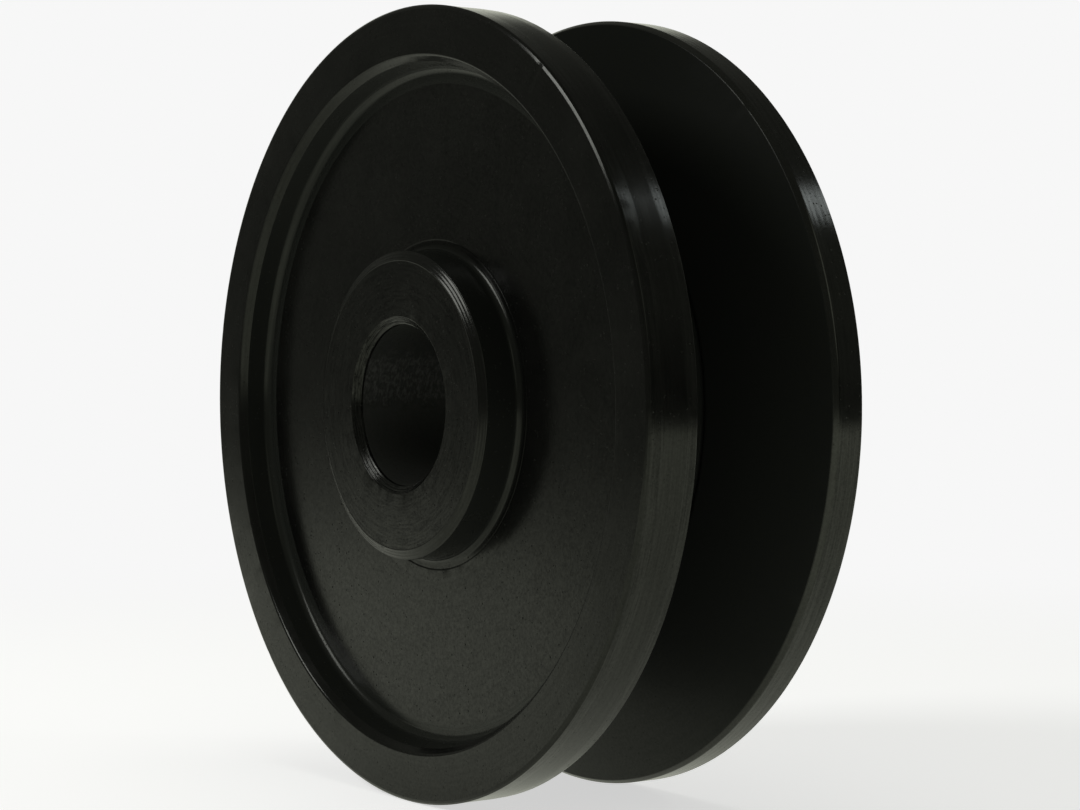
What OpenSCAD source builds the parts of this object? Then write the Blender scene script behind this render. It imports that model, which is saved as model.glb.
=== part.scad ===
// V belt pulley with one groove, turned in steel and coated black.
// The axis lies along Y and the front face looks towards -Y.
// The origin is on the bore axis, in the middle plane of the belt groove.
// Profiles are drawn as radius and height: X is the radius and Y is the
// distance in front of the groove's middle plane.

/* [Rim] */
// Outer diameter over both flanges
outer_d = 84; // [82:0.5:90]
// Groove's middle plane to the front rim face
front_reach = 14.47; // [13.5:0.01:15]
// Groove's middle plane to the rear rim face
rear_reach = 12.19; // [11.8:0.01:12.4]
// Width of the chamfer on the outer edges of both rims, in the rim face
rim_chamfer_w = 0.3; // [0.2:0.05:0.8]
// Height of the same chamfer, in the outer surface
rim_chamfer_h = 0.2; // [0.1:0.02:0.6]

/* [Belt groove] */
// Groove width at the outer diameter
groove_w = 17.3; // [16.5:0.1:17.6]
// Included angle between the two flanks, in degrees
groove_angle = 36; // [34:1:38]
// Groove depth below the outer diameter
groove_depth = 15; // [13.5:0.5:15.5]
// Edge break where the front flank meets the rim
front_lip = 0.15; // [0.1:0.05:0.3]
// Chamfer where the rear flank meets the rim
rear_lip = 0.42; // [0.2:0.02:0.6]

/* [Front recess] */
// Diameter of the recess at the rim face
recess_mouth_d = 73.6; // [73:0.1:75]
// Width of the bevel at the recess mouth
recess_bevel_w = 0.6; // [0.3:0.05:0.8]
// Depth of the bevel at the recess mouth
recess_bevel_h = 0.87; // [0.5:0.01:1.2]
// Diameter of the recess at the foot of its drafted wall
recess_foot_d = 71.6; // [70:0.1:71.6]
// Depth of the web below the front rim face
recess_depth = 3.42; // [3.3:0.01:4]
// Fillet between the recess wall and the web
recess_fillet = 0.95; // [0.6:0.05:1.2]

/* [Rear relief] */
// Depth of the relief in the rear face
relief_depth = 2; // [1.8:0.1:2.5]
// Diameter of the relief at the rear face
relief_mouth_d = 71; // [68:0.5:73]
// Bevel at the mouth of the relief
relief_bevel = 0.4; // [0.2:0.1:0.5]
// Fillet between the relief wall and its floor
relief_fillet = 1.2; // [0.8:0.1:1.2]

/* [Hub] */
// Bore diameter
bore_d = 17; // [15:0.5:20]
// Chamfer at both mouths of the bore
bore_chamfer = 0.8; // [0.4:0.1:1]
// Boss diameter
boss_d = 32.6; // [30:0.1:32.6]
// Groove's middle plane to the front boss face
boss_reach = 15.56; // [15.2:0.01:16.5]
// Groove's middle plane to the rear boss face
seat_reach = 12.7; // [12.5:0.1:14]
// Width of the chamfer on the boss edge
boss_chamfer_w = 1; // [0.4:0.1:1.4]
// Height of the chamfer on the boss edge
boss_chamfer_h = 0.48; // [0.3:0.02:0.6]
// Fillet at the foot of the boss
boss_fillet = 1.05; // [0.6:0.05:1.1]
// Diameter of the hub spigots that carry the flanges
spigot_d = 34.9; // [34.9:0.1:37]

/* [Hidden] */

coat = "#1c1d1c";

outer_r = outer_d / 2;
floor_r = outer_r - groove_depth;
bore_r = bore_d / 2;
boss_r = boss_d / 2;
spigot_r = spigot_d / 2;
flank_slope = tan(groove_angle / 2);
// Half of the groove floor's width
floor_half = groove_w / 2 - groove_depth * flank_slope;
web_y = front_reach - recess_depth;
relief_y = rear_reach - relief_depth;
mouth_r = recess_mouth_d / 2;
wall_r = recess_foot_d / 2;
relief_r = relief_mouth_d / 2;

// Height of a flank above the groove's middle plane at radius r
function flank(r) = groove_w / 2 - (outer_r - r) * flank_slope;

// Turns a half profile about the pulley's axis
module turned() {
    rotate([90, 0, 0]) rotate_extrude($fn = 180) children();
}

// Round cutter for an inside corner at p, fillet radius r.
// sx and sy say on which side of p the open space lies. The profile that
// it cuts has the points of foot() in place of the sharp corner.
module round_cut(p, r, sx, sy) {
    translate(p + [sx * r, sy * r]) circle(r, $fn = 72);
}

// The three points of a square foot of size r in the inside corner at p,
// from the upright wall to the floor
function foot(p, r, sx, sy) = [
    p + [0, sy * r],
    p + [sx * r, sy * r],
    p + [sx * r, 0]
];

// Drum between the flanges, both spigots, both bosses and the bore
module hub() {
    front_foot = foot([boss_r, web_y], boss_fillet, 1, 1);
    rear_foot = foot([boss_r, -relief_y], boss_fillet, 1, -1);
    color(coat) turned() difference() {
        polygon([
            [bore_r, -seat_reach + bore_chamfer],
            [bore_r + bore_chamfer, -seat_reach],
            [boss_r - boss_chamfer_w, -seat_reach],
            [boss_r, -seat_reach + boss_chamfer_h],
            rear_foot[0],
            rear_foot[1],
            rear_foot[2],
            [spigot_r, -relief_y],
            [spigot_r, -floor_half],
            [floor_r, -floor_half],
            [floor_r, floor_half],
            [spigot_r, floor_half],
            [spigot_r, web_y],
            front_foot[2],
            front_foot[1],
            front_foot[0],
            [boss_r, boss_reach - boss_chamfer_h],
            [boss_r - boss_chamfer_w, boss_reach],
            [bore_r + bore_chamfer, boss_reach],
            [bore_r, boss_reach - bore_chamfer]
        ]);
        round_cut([boss_r, web_y], boss_fillet, 1, 1);
        round_cut([boss_r, -relief_y], boss_fillet, 1, -1);
    }
}

// Front disc: its rear side is the front flank of the groove
module front_flange() {
    wall_foot = foot([wall_r, web_y], recess_fillet, -1, 1);
    color(coat) turned() difference() {
        polygon([
            [spigot_r, floor_half],
            [floor_r, floor_half],
            [outer_r - front_lip, flank(outer_r - front_lip)],
            [outer_r, flank(outer_r) + front_lip],
            [outer_r, front_reach - rim_chamfer_h],
            [outer_r - rim_chamfer_w, front_reach],
            [mouth_r, front_reach],
            [mouth_r - recess_bevel_w, front_reach - recess_bevel_h],
            wall_foot[0],
            wall_foot[1],
            wall_foot[2],
            [spigot_r, web_y]
        ]);
        round_cut([wall_r, web_y], recess_fillet, -1, 1);
    }
}

// Rear disc: its front side is the rear flank of the groove
module rear_flange() {
    wall_foot = foot([relief_r, -relief_y], relief_fillet, -1, -1);
    color(coat) turned() difference() {
        polygon([
            [spigot_r, -floor_half],
            [floor_r, -floor_half],
            [outer_r - rear_lip, -flank(outer_r - rear_lip)],
            [outer_r, -flank(outer_r) - rear_lip * 0.6],
            [outer_r, -rear_reach + rim_chamfer_h],
            [outer_r - rim_chamfer_w, -rear_reach],
            [relief_r + relief_bevel, -rear_reach],
            [relief_r, -rear_reach + relief_bevel],
            wall_foot[0],
            wall_foot[1],
            wall_foot[2],
            [spigot_r, -relief_y]
        ]);
        round_cut([relief_r, -relief_y], relief_fillet, -1, -1);
    }
}

hub();
front_flange();
rear_flange();
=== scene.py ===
import bpy
import math
import random
from mathutils import Matrix, Vector, noise


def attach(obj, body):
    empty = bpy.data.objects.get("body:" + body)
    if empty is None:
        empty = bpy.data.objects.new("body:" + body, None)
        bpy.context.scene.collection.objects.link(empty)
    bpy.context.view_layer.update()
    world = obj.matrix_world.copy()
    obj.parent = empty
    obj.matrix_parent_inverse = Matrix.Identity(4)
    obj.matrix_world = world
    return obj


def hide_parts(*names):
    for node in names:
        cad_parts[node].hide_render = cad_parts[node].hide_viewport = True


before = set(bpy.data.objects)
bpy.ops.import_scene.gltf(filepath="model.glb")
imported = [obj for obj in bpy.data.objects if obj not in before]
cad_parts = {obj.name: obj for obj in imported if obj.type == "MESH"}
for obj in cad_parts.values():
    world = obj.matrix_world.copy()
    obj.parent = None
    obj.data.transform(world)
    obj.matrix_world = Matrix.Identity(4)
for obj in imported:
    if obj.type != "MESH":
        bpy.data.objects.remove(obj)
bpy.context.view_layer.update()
scene = bpy.context.scene
MM = 0.001

# ---------------------------------------------------------------- camera
# The row's own frame: the pulley's axis is Y, its front looks along -Y.
RIGHT = Vector((0.575708, 0.817655, 0.0))
UP = Vector((-0.016755, 0.011797, 0.999790))
BACK = RIGHT.cross(UP).normalized()
cam_data = bpy.data.cameras.new("camera")
cam_data.sensor_fit = "HORIZONTAL"
cam_data.sensor_width = 36.0
cam_data.lens = 84.621
cam_data.clip_start, cam_data.clip_end = 0.01, 60.0
camera = bpy.data.objects.new("camera", cam_data)
scene.collection.objects.link(camera)
rot = Matrix((RIGHT, UP, BACK)).transposed().to_4x4()
camera.matrix_world = Matrix.Translation(Vector((0.2274186, -0.1572541, 0.0055165))) @ rot
scene.camera = camera


def toward(azimuth, elevation):
    """A direction by its angle right of the camera's line and above the horizon."""
    a, e = math.radians(azimuth), math.radians(elevation)
    ahead = Vector((-BACK.x, -BACK.y, 0)).normalized()
    side = Vector((RIGHT.x, RIGHT.y, 0)).normalized()
    return (ahead * math.cos(a) + side * math.sin(a)) * math.cos(e) + Vector((0, 0, math.sin(e)))


# ---------------------------------------------------------------- profiles
# Corners are (radius, height in front of the groove's middle plane, corner
# radius, finish of the stretch that starts there), in mm, with the metal on
# the left of the line. Each finish is (turning marks, grain, roughness, dust,
# gloss); dust above 1 marks the bore, whose colour is painted lighter with a
# worn grey: partly scratched metal under a thin coat, partly painted light.
FINISH = {
    "hidden": (0.0, 0.0, 0.30, 0.0, 1.0),
    "face": (0.36, 1.0, 0.20, 0.0, 0.96),
    "web": (0.32, 1.4, 0.19, 0.0, 1.0),
    "land": (0.42, 0.6, 0.17, 0.0, 1.0),
    "rolled": (0.62, 0.8, 0.18, 0.0, 1.0),
    "reland": (0.45, 0.7, 0.16, 0.2, 1.3),
    "rerolled": (0.62, 0.8, 0.17, 0.2, 1.3),
    "wall": (0.5, 0.6, 0.22, 1.0, 0.75),
    "foot": (0.5, 0.6, 0.15, 0.30, 0.78),
    "flank": (0.3, 0.8, 0.34, 1.0, 0.12),
    "floor": (0.4, 0.8, 0.34, 1.0, 0.12),
    "cut": (0.4, 0.5, 0.18, 0.0, 0.96),
    "mouth": (0.9, 1.2, 0.19, 0.0, 0.88),
    "boss": (0.7, 1.7, 0.21, 0.0, 1.0),
    "edge": (0.3, 0.5, 0.15, 0.2, 1.6),
    "bore": (0.35, 1.3, 0.45, 2.0, 0.45),
}
SLOPE = math.tan(math.radians(18))


def flank(r):
    return 8.65 - (42.0 - r) * SLOPE


def ridges(start, end, count, depth, finish):
    """Corners of the small ridges a tool left on a cone between two corners."""
    dr, dz = end[0] - start[0], end[1] - start[1]
    length = math.hypot(dr, dz)
    out = []
    for k in range(1, 2 * count):
        w = k / (2 * count)
        sink = depth if k % 2 else 0.0
        out.append((start[0] + dr * w - dz / length * sink,
                    start[1] + dz * w + dr / length * sink, 0.5, finish))
    return out


HUB = [
    (8.5, -11.9, 0.15, "cut"),
    (9.3, -12.7, 0.12, "boss"),
    (15.3, -12.7, 0.15, "cut"),
    (16.3, -12.22, 0.15, "wall"),
    (16.3, -10.19, 1.05, "wall"),
    (17.35, -10.19, 0.0, "wall"),
    (17.41, -10.13, 0.03, "hidden"),
    (17.45, -9.9, 0.0, "hidden"),
    (17.45, -3.776, 0.0, "hidden"),
    (27.0, -3.776, 0.0, "floor"),
    (27.0, 3.776, 0.0, "hidden"),
    (17.45, 3.776, 0.0, "hidden"),
    (17.45, 11.04, 0.0, "foot"),
    (17.42, 11.05, 0.0, "web"),
    (17.10, 11.05, 0.0, "foot"),
    (16.3, 11.05, 0.72, "wall"),
    (16.3, 15.08, 0.10, "cut"),
    *ridges((16.3, 15.08), (15.34, 15.545), 3, 0.030, "cut"),
    (15.34, 15.545, 0.04, "cut"),
    (15.28, 15.56, 0.03, "cut"),
    (15.20, 15.54, 0.04, "boss"),
    (9.35, 15.54, 0.08, "mouth"),
    *ridges((9.35, 15.54), (8.56, 14.86), 3, 0.045, "mouth"),
    (8.56, 14.86, 0.06, "mouth"),
    (8.5, 14.60, 0.3, "bore"),
]
FRONT = [
    (17.45, 3.8, 0.0, "hidden"),
    (26.98, 3.8, 0.0, "floor"),
    (27.0, 4.2, 0.0, "floor"),
    (27.35, flank(27.35), 0.5, "flank"),
    (41.90, flank(41.90), 0.04, "rolled"),
    (41.955, 9.9, 5.0, "land"),
    (41.955, 12.5, 5.0, "rolled"),
    (41.998, 14.14, 0.08, "cut"),
    (41.82, 14.345, 0.05, "cut"),
    (41.56, 14.47, 0.06, "face"),
    (36.80, 14.47, 0.42, "cut"),
    (36.14, 13.69, 0.10, "wall"),
    (35.72, 11.05, 0.95, "wall"),
    (34.0, 11.05, 0.0, "web"),
    (18.85, 11.05, 1.5, "web"),
    (17.62, 11.070, 0.05, "web"),
    (17.48, 11.05, 0.02, "web"),
    (17.45, 11.04, 0.0, "hidden"),
]
REAR = [
    (17.45, -10.0, 0.0, "hidden"),
    (17.52, -10.19, 0.04, "web"),
    (35.5, -10.19, 1.2, "wall"),
    (35.5, -11.79, 0.08, "cut"),
    (35.9, -12.19, 0.10, "face"),
    (41.66, -12.19, 0.08, "cut"),
    (41.99, -11.98, 0.10, "rerolled"),
    (41.987, -11.60, 6.0, "reland"),
    (41.990, -11.22, 6.0, "rerolled"),
    (41.986, -10.84, 6.0, "reland"),
    (41.990, -10.46, 6.0, "rerolled"),
    (41.986, -10.08, 6.0, "reland"),
    (41.990, -9.70, 6.0, "rerolled"),
    (41.986, -9.36, 6.0, "rerolled"),
    (41.990, -9.02, 0.30, "edge"),
    (41.60, -flank(41.60), 0.35, "flank"),
    (27.35, -flank(27.35), 0.5, "floor"),
    (27.0, -4.2, 0.0, "floor"),
    (26.98, -3.8, 0.0, "hidden"),
    (17.45, -3.8, 0.0, "hidden"),
]


def outline(corners, step):
    """The profile with its corners rounded and its stretches divided.
    Gives points (r, z, finish, edge)."""
    n, arcs = len(corners), []
    for i in range(n):
        p0, p1, p2 = (Vector(corners[k % n][:2]) for k in (i - 1, i, i + 1))
        a, b = p1 - p0, p2 - p1
        la, lb = a.length, b.length
        a.normalize()
        b.normalize()
        cross = a.x * b.y - a.y * b.x
        turn = math.atan2(cross, a.dot(b))
        rad = corners[i][2]
        reach = abs(math.tan(turn / 2))
        if rad > 0 and reach > 1e-6:
            rad = min(rad, 0.9 * min(la, lb) / reach)
        if rad <= 0 or abs(turn) < 1e-4:
            arcs.append(([p1.copy()], 0.0))
            continue
        start = p1 - a * rad * reach
        side = 1 if turn > 0 else -1
        centre = start + Vector((-a.y, a.x)) * rad * side
        count = max(3, math.ceil(abs(math.degrees(turn)) / 9) + 1)
        spoke = start - centre
        pts = []
        for k in range(count):
            w = turn * k / (count - 1)
            pts.append(centre + Vector((spoke.x * math.cos(w) - spoke.y * math.sin(w),
                                        spoke.x * math.sin(w) + spoke.y * math.cos(w))))
        arcs.append((pts, 1.0 if side > 0 and rad < 0.5 else 0.0))
    out = []
    for i in range(n):
        pts, edge = arcs[i]
        before, after = FINISH[corners[i - 1][3]], FINISH[corners[i][3]]
        for k, p in enumerate(pts):
            w = k / (len(pts) - 1) if len(pts) > 1 else 0.5
            out.append((p.x, p.y, tuple(u * (1 - w) + v * w for u, v in zip(before, after)), edge))
        p, q = pts[-1], arcs[(i + 1) % n][0][0]
        gap = (q - p).length
        if corners[i][3] == "hidden" or gap < 0.12:
            continue
        cuts = [0.035, gap - 0.035] if gap > 0.2 else []
        pieces = max(1, math.ceil(gap / step))
        cuts += [gap * k / pieces for k in range(1, pieces)]
        for c in sorted(cuts):
            s = p.lerp(q, c / gap)
            out.append((s.x, s.y, after, 0.0))
    return out


# Small dents on the rims and the boss: (degrees, radius, height, length along
# the edge, reach across it, depth), in mm
def dents(seed, radius, height, count, low, high, size, depth):
    rnd = random.Random(seed)
    return [(rnd.uniform(low, high), radius, height, size * rnd.uniform(0.6, 1.7),
             size * rnd.uniform(0.35, 0.7), depth * rnd.uniform(0.35, 1.0)) for _ in range(count)]


def lathe(name, corners, segments, step, marks):
    """Turns a profile about Y into one closed mesh with its finish stored on it."""
    line = outline(corners, step)
    n = len(line)
    flat = [Vector(p[:2]) for p in line]
    normals = []
    for i in range(n):
        d = flat[(i + 1) % n] - flat[i - 1]
        d.normalize()
        normals.append(Vector((d.y, -d.x)))
    along, total = [], 0.0
    for i in range(n):
        along.append(total)
        total += (flat[(i + 1) % n] - flat[i]).length
    verts, values, finishes, dust_and_bore_light, gloss = [], [], [], [], []
    for j in range(segments):
        t = 2 * math.pi * j / segments
        ct, st = math.cos(t), math.sin(t)
        near = []
        for d in marks:
            arc = ((math.degrees(t) - d[0] + 180) % 360 - 180) * math.pi / 180 * d[1]
            if abs(arc) < d[3]:
                near.append((d, math.cos(arc / d[3] * math.pi / 2) ** 2))
        for i, (r, z, fin, edge) in enumerate(line):
            push = 0.0
            if edge:
                # edges were broken by hand and handling, so they wander a little
                w = noise.noise(Vector((ct * r * 0.55, st * r * 0.55, z * 0.3 + 7)))
                w2 = noise.noise(Vector((ct * r * 1.7, st * r * 1.7, z + 31)))
                push += 0.006 * max(0.0, w) + 0.005 * max(0.0, w2)
            for d, f in near:
                gap = math.hypot(r - d[1], z - d[2])
                if gap < d[4]:
                    push += d[5] * f * math.cos(gap / d[4] * math.pi / 2) ** 2
            rr, zz = r - normals[i].x * push, z - normals[i].y * push
            verts.append((rr * ct * MM, -zz * MM, rr * st * MM))
            values.append(along[i])
            finishes.append((*fin[:3], edge))
            dust_and_bore_light.append(fin[3])
            # painted shade and painted reflection: the groove's coat is made far less reflective on top, so it
            # reads darker there, and more reflective below, so it mirrors the lit table more brightly
            low = min(1.0, max(0.0, (-st - 0.62) / 0.32))
            high = min(1.0, max(0.0, (st - 0.05) / 0.45))
            inside = min(1.0, max(0.0, (0.5 - fin[4]) / 0.3)) if r > 20 else 0.0
            # painted shade: the foot of the front boss is likewise made less reflective on top, to dim its
            # reflection there
            foot = min(1.0, max(0.0, (st - 0.78) / 0.16)) if 16.3 < r < 17.5 and 11.0 < z < 12.0 else 0.0
            gloss.append(fin[4] * (1 - 0.5 * foot) + inside * (0.50 * low * low * (3 - 2 * low) - 0.085 * high))
    faces = []
    for j in range(segments):
        a, b = j * n, ((j + 1) % segments) * n
        for i in range(n):
            k = (i + 1) % n
            faces.append((a + i, b + i, b + k, a + k))
    mesh = bpy.data.meshes.new(name)
    mesh.from_pydata(verts, [], faces)
    mesh.update()
    if mesh_volume(verts, faces) < 0:
        mesh.flip_normals()
    mesh.polygons.foreach_set("use_smooth", [True] * len(faces))
    mesh.attributes.new("along", "FLOAT", "POINT").data.foreach_set("value", values)
    mesh.attributes.new("finish", "FLOAT_COLOR", "POINT").data.foreach_set(
        "color", [c for f in finishes for c in f])
    mesh.attributes.new("dust_and_bore_light", "FLOAT", "POINT").data.foreach_set("value", dust_and_bore_light)
    mesh.attributes.new("gloss", "FLOAT", "POINT").data.foreach_set("value", gloss)
    obj = bpy.data.objects.new(name, mesh)
    scene.collection.objects.link(obj)
    return obj


def mesh_volume(verts, faces):
    total = 0.0
    for f in faces[:: max(1, len(faces) // 40000)]:
        a, b, c, d = (Vector(verts[k]) for k in f)
        total += a.dot(b.cross(c)) + a.dot(c.cross(d))
    return total


# ---------------------------------------------------------------- material
def coated_steel():
    """Black coat over turned steel: turning marks along the profile, coat
    grain, pits, a slow unevenness, and bare flecks where an edge was knocked."""
    mat = bpy.data.materials.new("black_coated_steel")
    mat.use_nodes = True
    nt = mat.node_tree
    nodes, links = nt.nodes, nt.links
    bsdf = next(n for n in nodes if n.type == "BSDF_PRINCIPLED")

    def node(kind, **props):
        made = nodes.new(kind)
        for key, value in props.items():
            setattr(made, key, value)
        return made

    def put(socket, value):
        if isinstance(value, bpy.types.NodeSocket):
            links.new(value, socket)
        else:
            socket.default_value = value

    def math_(op, a, b=0.0, c=0.0, clamp=False):
        m = node("ShaderNodeMath", operation=op, use_clamp=clamp)
        for s, v in zip(m.inputs, (a, b, c)):
            put(s, v)
        return m.outputs[0]

    def ramp(value, low, high, out_low=0.0, out_high=1.0):
        m = node("ShaderNodeMapRange", interpolation_type="SMOOTHSTEP", clamp=True)
        for s, v in zip(m.inputs, (value, low, high, out_low, out_high)):
            put(s, v)
        return m.outputs[0]

    def noise_(vector, scale, detail=2.0, rough=0.5):
        m = node("ShaderNodeTexNoise")
        put(m.inputs["Vector"], vector)
        m.inputs["Scale"].default_value = scale
        m.inputs["Detail"].default_value = detail
        m.inputs["Roughness"].default_value = rough
        return m.outputs["Fac"]

    place = node("ShaderNodeTexCoord").outputs["Object"]
    mm = node("ShaderNodeVectorMath", operation="SCALE")
    put(mm.inputs[0], place)
    mm.inputs["Scale"].default_value = 1000.0
    mm = mm.outputs[0]
    xyz = node("ShaderNodeSeparateXYZ")
    put(xyz.inputs[0], mm)
    angle = math_("ARCTAN2", xyz.outputs["Z"], xyz.outputs["X"])
    along = node("ShaderNodeAttribute", attribute_name="along").outputs["Fac"]
    finish = node("ShaderNodeAttribute", attribute_name="finish")
    parts = node("ShaderNodeSeparateColor")
    put(parts.inputs[0], finish.outputs["Color"])
    turned, grain, rough = parts.outputs
    edge = finish.outputs["Alpha"]

    def rings(pitch, turns, shift):
        """Marks that run round the axis: fine along the profile, slow around it."""
        v = node("ShaderNodeCombineXYZ")
        put(v.inputs[0], math_("ADD", math_("MULTIPLY", along, pitch), shift))
        put(v.inputs[1], math_("MULTIPLY", math_("COSINE", angle), turns))
        put(v.inputs[2], math_("MULTIPLY", math_("SINE", angle), turns))
        return v.outputs[0]

    fine = noise_(rings(9.0, 2.5, 0.0), 1.0, 2.0, 0.6)
    broad = noise_(rings(1.9, 1.2, 40.0), 1.0, 1.0, 0.5)
    streak = noise_(rings(3.2, 7.0, 90.0), 1.0, 3.0, 0.6)
    coat = noise_(mm, 8.5, 2.0, 0.6)
    peel = noise_(mm, 0.75, 1.0, 0.5)

    cells = node("ShaderNodeTexVoronoi", feature="F1")
    put(cells.inputs["Vector"], mm)
    cells.inputs["Scale"].default_value = 1.9
    pick = node("ShaderNodeSeparateColor")
    put(pick.inputs[0], cells.outputs["Color"])
    pit = math_("MULTIPLY",
                ramp(cells.outputs["Distance"], 0.08, 0.26, 1.0, 0.0),
                math_("MULTIPLY", ramp(pick.outputs[0], 0.62, 0.80), grain))

    # heights in mm
    height = math_("MULTIPLY", fine, math_("MULTIPLY", turned, 0.0011))
    height = math_("ADD", height, math_("MULTIPLY", broad, math_("MULTIPLY", turned, 0.0040)))
    height = math_("ADD", height, math_("MULTIPLY", streak, math_("MULTIPLY", turned, 0.0016)))
    height = math_("ADD", height, math_("MULTIPLY", coat, math_("MULTIPLY", grain, 0.0016)))
    height = math_("ADD", height, math_("MULTIPLY", peel, 0.0020))
    height = math_("SUBTRACT", height, math_("MULTIPLY", pit, 0.0045))
    bump = node("ShaderNodeBump")
    bump.inputs["Strength"].default_value = 1.0
    bump.inputs["Distance"].default_value = 0.001
    put(bump.inputs["Height"], height)
    put(bsdf.inputs["Normal"], bump.outputs[0])

    # the coat is patchy at the size of its grain, and more so along tool marks
    blotch = noise_(mm, 3.4, 2.0, 0.65)
    arcs = noise_(rings(4.2, 5.0, 15.0), 1.0, 2.0, 0.6)
    level = math_("MULTIPLY", math_("SUBTRACT", blotch, 0.5), math_("MULTIPLY", grain, 0.66))
    level = math_("ADD", level, math_("MULTIPLY", ramp(arcs, 0.36, 0.64, -0.5, 0.5),
                                      math_("MULTIPLY", math_("MULTIPLY", turned, turned), 0.55)))
    level = math_("SUBTRACT", math_("ADD", level, 0.5), math_("MULTIPLY", pit, 0.16), clamp=True)
    level = math_("MULTIPLY", level, node("ShaderNodeAttribute", attribute_name="gloss").outputs["Fac"], clamp=True)
    put(bsdf.inputs["Specular IOR Level"], level)

    # roughness: the finish's own, cloudy from handling, duller in the pits
    cloud = noise_(mm, 0.16, 3.0, 0.6)
    r = math_("ADD", rough, math_("MULTIPLY", math_("SUBTRACT", cloud, 0.5), 0.10))
    r = math_("ADD", r, math_("MULTIPLY", math_("SUBTRACT", streak, 0.5), math_("MULTIPLY", turned, 0.07)))
    r = math_("ADD", r, math_("MULTIPLY", pit, 0.30))

    # bare flecks on knocked edges
    knocks = noise_(mm, 1.3, 4.0, 0.7)
    bare = math_("MULTIPLY", edge, ramp(knocks, 0.70, 0.78), clamp=True)
    put(bsdf.inputs["Roughness"], math_("ADD", r, math_("MULTIPLY", bare, 0.08), clamp=True))
    tone = node("ShaderNodeMix", data_type="RGBA")
    put(tone.inputs["Factor"], ramp(cloud, 0.35, 0.70))
    tone.inputs["A"].default_value = (0.0026, 0.0027, 0.0024, 1)
    tone.inputs["B"].default_value = (0.0040, 0.0041, 0.0036, 1)
    dust_and_bore_light = node("ShaderNodeAttribute", attribute_name="dust_and_bore_light").outputs["Fac"]
    dusty = node("ShaderNodeMix", data_type="RGBA")
    put(dusty.inputs["Factor"], dust_and_bore_light)
    put(dusty.inputs["A"], tone.outputs["Result"])
    dusty.inputs["B"].default_value = (0.0115, 0.0125, 0.0105, 1)
    # painted light: the bore is painted lighter with a worn grey, more on its lower half than on its upper half;
    # one stretch of the wall, rubbed by a shaft, is painted lighter again along its scratches, partly wear and
    # partly painted light
    scratch = noise_(rings(3.4, 16.0, 60.0), 1.0, 4.0, 0.70)
    up = math_("ADD", math_("SINE", angle), math_("MULTIPLY", math_("SUBTRACT", peel, 0.5), 0.30))
    patch = math_("MULTIPLY", ramp(up, -0.05, 0.05), ramp(up, 0.42, 0.84, 1.0, 0.0))
    patch = math_("MULTIPLY", patch, ramp(math_("COSINE", angle), -0.30, 0.0, 1.0, 0.0))
    bore_scratches_and_painted_light = node("ShaderNodeMix", data_type="RGBA")
    put(bore_scratches_and_painted_light.inputs["Factor"], math_("MULTIPLY", math_("SUBTRACT", dust_and_bore_light, 1.0, clamp=True),
                                     math_("MAXIMUM", ramp(up, -0.08, 0.04, 0.36, 0.14),
                                           math_("MULTIPLY", patch, ramp(scratch, 0.34, 0.72)))))
    put(bore_scratches_and_painted_light.inputs["A"], dusty.outputs["Result"])
    bore_scratches_and_painted_light.inputs["B"].default_value = (0.056, 0.057, 0.051, 1)
    color = node("ShaderNodeMix", data_type="RGBA")
    put(color.inputs["Factor"], math_("MULTIPLY", bare, 0.75))
    put(color.inputs["A"], bore_scratches_and_painted_light.outputs["Result"])
    color.inputs["B"].default_value = (0.12, 0.118, 0.11, 1)
    put(bsdf.inputs["Base Color"], color.outputs["Result"])
    put(bsdf.inputs["Metallic"], math_("MULTIPLY", bare, 0.7))
    bsdf.inputs["IOR"].default_value = 1.31
    bsdf.inputs["Specular Tint"].default_value = (0.97, 1.0, 0.90, 1)
    # turned metal scatters across its marks, so its lobe is wider that way
    put(bsdf.inputs["Anisotropic"], math_("MULTIPLY", turned, 0.62, clamp=True))
    bsdf.inputs["Anisotropic Rotation"].default_value = 0.25
    around = node("ShaderNodeTangent", direction_type="RADIAL", axis="Y")
    put(bsdf.inputs["Tangent"], around.outputs[0])
    return mat


steel = coated_steel()
for name, corners, segments, step, marks in (
    ("hub_body", HUB, 512, 2.0,
     dents(3, 15.6, 15.42, 9, 0, 360, 0.4, 0.03) + dents(4, 8.9, 15.3, 8, 0, 360, 0.35, 0.03)),
    ("front_flange_body", FRONT, 768, 2.6,
     [(54.0, 41.56, 14.45, 0.45, 0.35, 0.10)]
     + dents(5, 41.75, 14.35, 16, 0, 360, 0.4, 0.03) + dents(6, 41.90, 8.75, 10, 0, 360, 0.4, 0.03)
     + dents(7, 36.75, 14.40, 8, 0, 360, 0.3, 0.012)),
    ("rear_flange_body", REAR, 736, 2.6,
     [(47.0, 41.6, -8.65, 0.5, 0.35, 0.10)]
     + dents(8, 41.80, -8.80, 14, 0, 360, 0.4, 0.03) + dents(9, 41.80, -12.05, 14, 0, 360, 0.4, 0.03)),
):
    piece = lathe(name, corners, segments, step, marks)
    piece.data.materials.append(steel)
    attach(piece, "root")
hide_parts("hub")
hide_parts("front_flange")
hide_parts("rear_flange")

# ---------------------------------------------------------------- stage
PALE = 0.93
FLOOR_Z = -0.042


def disc(name, inner, outer, material, count=96):
    verts, faces = [], []
    if inner <= 0:
        verts.append((0, 0, FLOOR_Z))
        rings_at = [outer]
    else:
        rings_at = [inner, outer]
    for r in rings_at:
        verts += [(r * math.cos(2 * math.pi * k / count), r * math.sin(2 * math.pi * k / count), FLOOR_Z)
                  for k in range(count)]
    for k in range(count):
        m = (k + 1) % count
        if inner <= 0:
            faces.append((0, 1 + k, 1 + m))
        else:
            faces.append((k, count + k, count + m, m))
    mesh = bpy.data.meshes.new(name)
    mesh.from_pydata(verts, [], faces)
    mesh.materials.append(material)
    obj = bpy.data.objects.new(name, mesh)
    scene.collection.objects.link(obj)
    return obj


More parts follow.
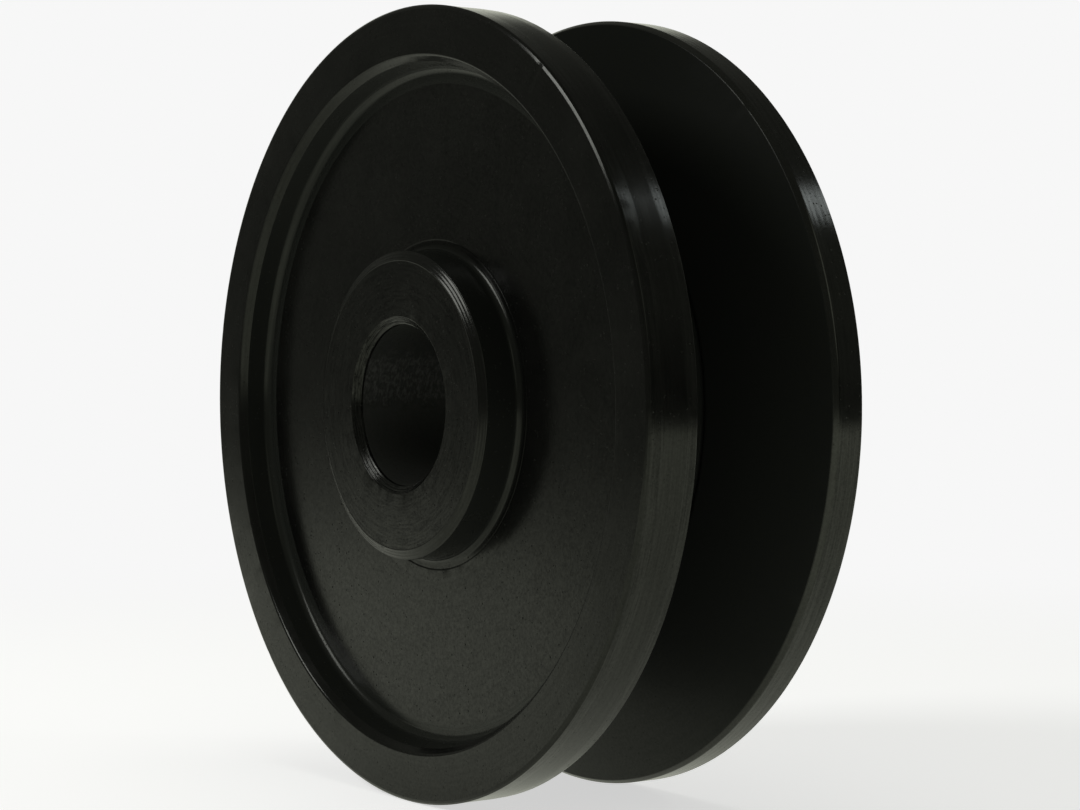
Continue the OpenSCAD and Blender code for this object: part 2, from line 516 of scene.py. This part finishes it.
def floor_material(name, near):
    """Pale paper. Far from the part it is as bright as the room behind it."""
    mat = bpy.data.materials.new(name)
    mat.use_nodes = True
    nt = mat.node_tree
    nt.nodes.clear()
    out = nt.nodes.new("ShaderNodeOutputMaterial")
    glow = nt.nodes.new("ShaderNodeEmission")
    glow.inputs["Color"].default_value = (PALE, PALE, PALE, 1)
    if not near:
        nt.links.new(glow.outputs[0], out.inputs["Surface"])
        return mat
    # lit from below as well as from the room, so shadows on it stay pale
    paper = nt.nodes.new("ShaderNodeBsdfDiffuse")
    paper.inputs["Color"].default_value = (0.80, 0.80, 0.79, 1)
    lit = nt.nodes.new("ShaderNodeEmission")
    lit.inputs["Color"].default_value = (0.60, 0.60, 0.60, 1)
    both = nt.nodes.new("ShaderNodeAddShader")
    nt.links.new(paper.outputs[0], both.inputs[0])
    nt.links.new(lit.outputs[0], both.inputs[1])
    mix = nt.nodes.new("ShaderNodeMixShader")
    coord = nt.nodes.new("ShaderNodeTexCoord")
    length = nt.nodes.new("ShaderNodeVectorMath")
    length.operation = "LENGTH"
    nt.links.new(coord.outputs["Object"], length.inputs[0])
    span = nt.nodes.new("ShaderNodeMapRange")
    span.interpolation_type = "SMOOTHSTEP"
    span.inputs[1].default_value = 0.10
    span.inputs[2].default_value = 0.30
    nt.links.new(length.outputs["Value"], span.inputs[0])
    nt.links.new(span.outputs[0], mix.inputs[0])
    nt.links.new(both.outputs[0], mix.inputs[1])
    nt.links.new(glow.outputs[0], mix.inputs[2])
    nt.links.new(mix.outputs[0], out.inputs["Surface"])
    return mat


def sheet_material():
    """The lit table as the coat mirrors it: the part's shadow is painted on it as a dimmer zone under the part, and
    it is dimmer far off.
    """
    mat = bpy.data.materials.new("lit_sheet")
    mat.use_nodes = True
    nt = mat.node_tree
    nt.nodes.clear()
    out = nt.nodes.new("ShaderNodeOutputMaterial")
    glow = nt.nodes.new("ShaderNodeEmission")
    glow.inputs["Color"].default_value = (1.0, 1.03, 0.88, 1)
    coord = nt.nodes.new("ShaderNodeTexCoord")

    def span(value, low, high, out_low, out_high):
        m = nt.nodes.new("ShaderNodeMapRange")
        m.interpolation_type = "SMOOTHSTEP"
        nt.links.new(value, m.inputs[0])
        for k, v in enumerate((low, high, out_low, out_high)):
            m.inputs[k + 1].default_value = v
        return m.outputs[0]

    def reach(direction):
        m = nt.nodes.new("ShaderNodeVectorMath")
        m.operation = "DOT_PRODUCT"
        nt.links.new(coord.outputs["Object"], m.inputs[0])
        m.inputs[1].default_value = direction
        return m.outputs["Value"]

    def distance(point):
        m = nt.nodes.new("ShaderNodeVectorMath")
        m.operation = "DISTANCE"
        nt.links.new(coord.outputs["Object"], m.inputs[0])
        m.inputs[1].default_value = point
        return m.outputs["Value"]

    def times(a, b):
        m = nt.nodes.new("ShaderNodeMath")
        m.operation = "MULTIPLY"
        nt.links.new(a, m.inputs[0])
        nt.links.new(b, m.inputs[1])
        return m.outputs[0]

    far = distance((0, 0, 0))
    farther = distance(toward(102, 0) * 0.11)
    # the sheet is painted darker in a patch in front of the part, a little to the right
    dark_front_patch = times(span(reach((0.52, -0.85, 0)), 0.038, 0.048, 0.0, 1.0),
                 span(reach((-0.85, -0.52, 0)), 0.06, 0.12, 0.0, 1.0))
    # brighter straight behind it, where only its back looks
    behind = times(span(reach((0.8, 1.0, 0)), 0.06, 0.14, 0.0, 1.0),
                   span(reach((-0.8, 1.0, 0)), 0.06, 0.14, 0.0, 1.0))
    # painted shadow: the first span dims the sheet near the middle, under the part, as the part's shadow on the
    # table
    parts = (span(far, 0.0, 0.07, 0.14, 0.76),
             span(far, 0.07, 0.25, 1.0, 1.08),
             span(reach(toward(90, 0)), 0.0, 0.06, 1.0, 1.05),
             span(reach(toward(190, 0)), 0.02, 0.06, 1.0, 1.28),
             span(dark_front_patch, 0.0, 1.0, 1.0, 0.58),
             span(farther, 0.40, 0.61, 1.0, 0.50),
             span(farther, 0.61, 1.10, 1.0, 0.40),
             span(reach(toward(102, 0)), 0.46, 0.52, 1.0, 0.10),
             span(behind, 0.0, 1.0, 1.0, 3.4))
    total = parts[0]
    for other in parts[1:]:
        total = times(total, other)
    nt.links.new(total, glow.inputs["Strength"])
    nt.links.new(glow.outputs[0], out.inputs["Surface"])
    return mat


floor = disc("floor", 0, 0.42, floor_material("floor_paper", True))
floor.visible_glossy = False
sheet = disc("floor_sheet", 0, 1.3, sheet_material())
sheet.location.z = -0.0002
sheet.visible_camera = False
sheet.visible_diffuse = False
sheet.visible_shadow = False
outer_floor = disc("floor_far", 0.42, 40.0, floor_material("floor_far_paper", False))
outer_floor.visible_glossy = False
outer_floor.visible_diffuse = False
outer_floor.visible_shadow = False


def soft_light(name, azimuth, elevation, distance, width, height, power, color=(1, 1, 1)):
    data = bpy.data.lights.new(name, "AREA")
    data.shape = "RECTANGLE"
    data.size, data.size_y = width, height
    data.energy = power
    data.color = color
    obj = bpy.data.objects.new(name, data)
    scene.collection.objects.link(obj)
    d = toward(azimuth, elevation)
    obj.location = d * distance
    obj.rotation_mode = "QUATERNION"
    obj.rotation_quaternion = (-d).to_track_quat("-Z", "Y")
    obj.visible_camera = False
    return obj


def softbox(name, azimuth, elevation, distance, wide, high, radiance, color=(1, 1, 1)):
    """A lamp given by the half angles it fills and how bright its face looks."""
    w = 2 * distance * math.tan(math.radians(wide))
    h = 2 * distance * math.tan(math.radians(high))
    return soft_light(name, azimuth, elevation, distance, w, h, radiance * math.pi * w * h, color)


softbox("side_softbox", 84, 41, 0.8, 3.4, 3.4, 4.3, (0.90, 0.96, 1.0))
softbox("left_softbox", -104, 37, 0.8, 10.5, 9, 7.8)
top = softbox("top_softbox", 20, 88, 0.9, 18, 18, 1.0)
top.visible_glossy = False

# The room: pale where the camera looks past the part, and a dim room with a
# lighter wall behind the part for what the coat reflects
world = bpy.data.worlds.new("room")
scene.world = world
world.use_nodes = True
wt = world.node_tree
wt.nodes.clear()


def wnode(kind, **props):
    made = wt.nodes.new(kind)
    for key, value in props.items():
        setattr(made, key, value)
    return made


def wmath(op, a, b=0.0, clamp=False):
    m = wnode("ShaderNodeMath", operation=op, use_clamp=clamp)
    for s, v in zip(m.inputs, (a, b)):
        if isinstance(v, bpy.types.NodeSocket):
            wt.links.new(v, s)
        else:
            s.default_value = v
    return m.outputs[0]


def wramp(value, low, high, out_low=0.0, out_high=1.0):
    m = wnode("ShaderNodeMapRange", interpolation_type="SMOOTHSTEP")
    wt.links.new(value, m.inputs[0])
    for s, v in zip(m.inputs[1:5], (low, high, out_low, out_high)):
        s.default_value = v
    return m.outputs[0]


def wdot(vector, other):
    m = wnode("ShaderNodeVectorMath", operation="DOT_PRODUCT")
    wt.links.new(vector, m.inputs[0])
    m.inputs[1].default_value = other
    return m.outputs["Value"]


way = wnode("ShaderNodeTexCoord").outputs["Generated"]
ahead = toward(0, 0)
side = toward(90, 0)
lift = wdot(way, (0, 0, 1))
spread = wmath("SUBTRACT", wmath("ABSOLUTE", wdot(way, side)), wmath("MULTIPLY", wdot(way, ahead), 0.36))
wall_ = wmath("MULTIPLY", wramp(spread, -0.06, 0.06, 1.0, 0.0), wramp(lift, 0.25, 0.52, 1.0, 0.0))
high = wramp(wdot(way, toward(35, 50)), 0.80, 0.95)
dark = wmath("MULTIPLY", wramp(wdot(way, toward(193.5, 0)), -0.02, 0.03), wramp(lift, 0.24, 0.36, 1.0, 0.0))
dark = wmath("MULTIPLY", dark, wramp(wdot(way, toward(125, 0)), 0.80, 0.90))
glow = wmath("ADD", wramp(lift, 0.03, 0.12, 0.110, 0.146), wmath("MULTIPLY", wall_, 0.76))
glow = wmath("SUBTRACT", glow, wmath("MULTIPLY", high, 0.055))
# windows beside and behind it, which only its groove and its back mirror
beside = wramp(wdot(way, (0.86, 0.0, 0.51)), 0.90, 0.97)
behind = wramp(wdot(way, (0.0, 0.96, 0.28)), 0.90, 0.97)
path = wnode("ShaderNodeLightPath")
window = wmath("MULTIPLY", wmath("MAXIMUM", beside, behind), path.outputs["Is Glossy Ray"])
glow = wmath("ADD", glow, wmath("MULTIPLY", window, 0.9))
glow = wmath("SUBTRACT", glow, wmath("MULTIPLY", dark, 0.10), clamp=True)
room = wnode("ShaderNodeBackground")
wt.links.new(glow, room.inputs["Strength"])
room.inputs["Color"].default_value = (1.0, 1.03, 0.88, 1)
pale = wnode("ShaderNodeBackground")
pale.inputs["Color"].default_value = (PALE, PALE, PALE, 1)
both = wnode("ShaderNodeMixShader")
wt.links.new(path.outputs["Is Camera Ray"], both.inputs[0])
wt.links.new(room.outputs[0], both.inputs[1])
wt.links.new(pale.outputs[0], both.inputs[2])
wout = wnode("ShaderNodeOutputWorld")
wt.links.new(both.outputs[0], wout.inputs["Surface"])

scene.view_settings.view_transform = "Standard"
scene.view_settings.look = "None"
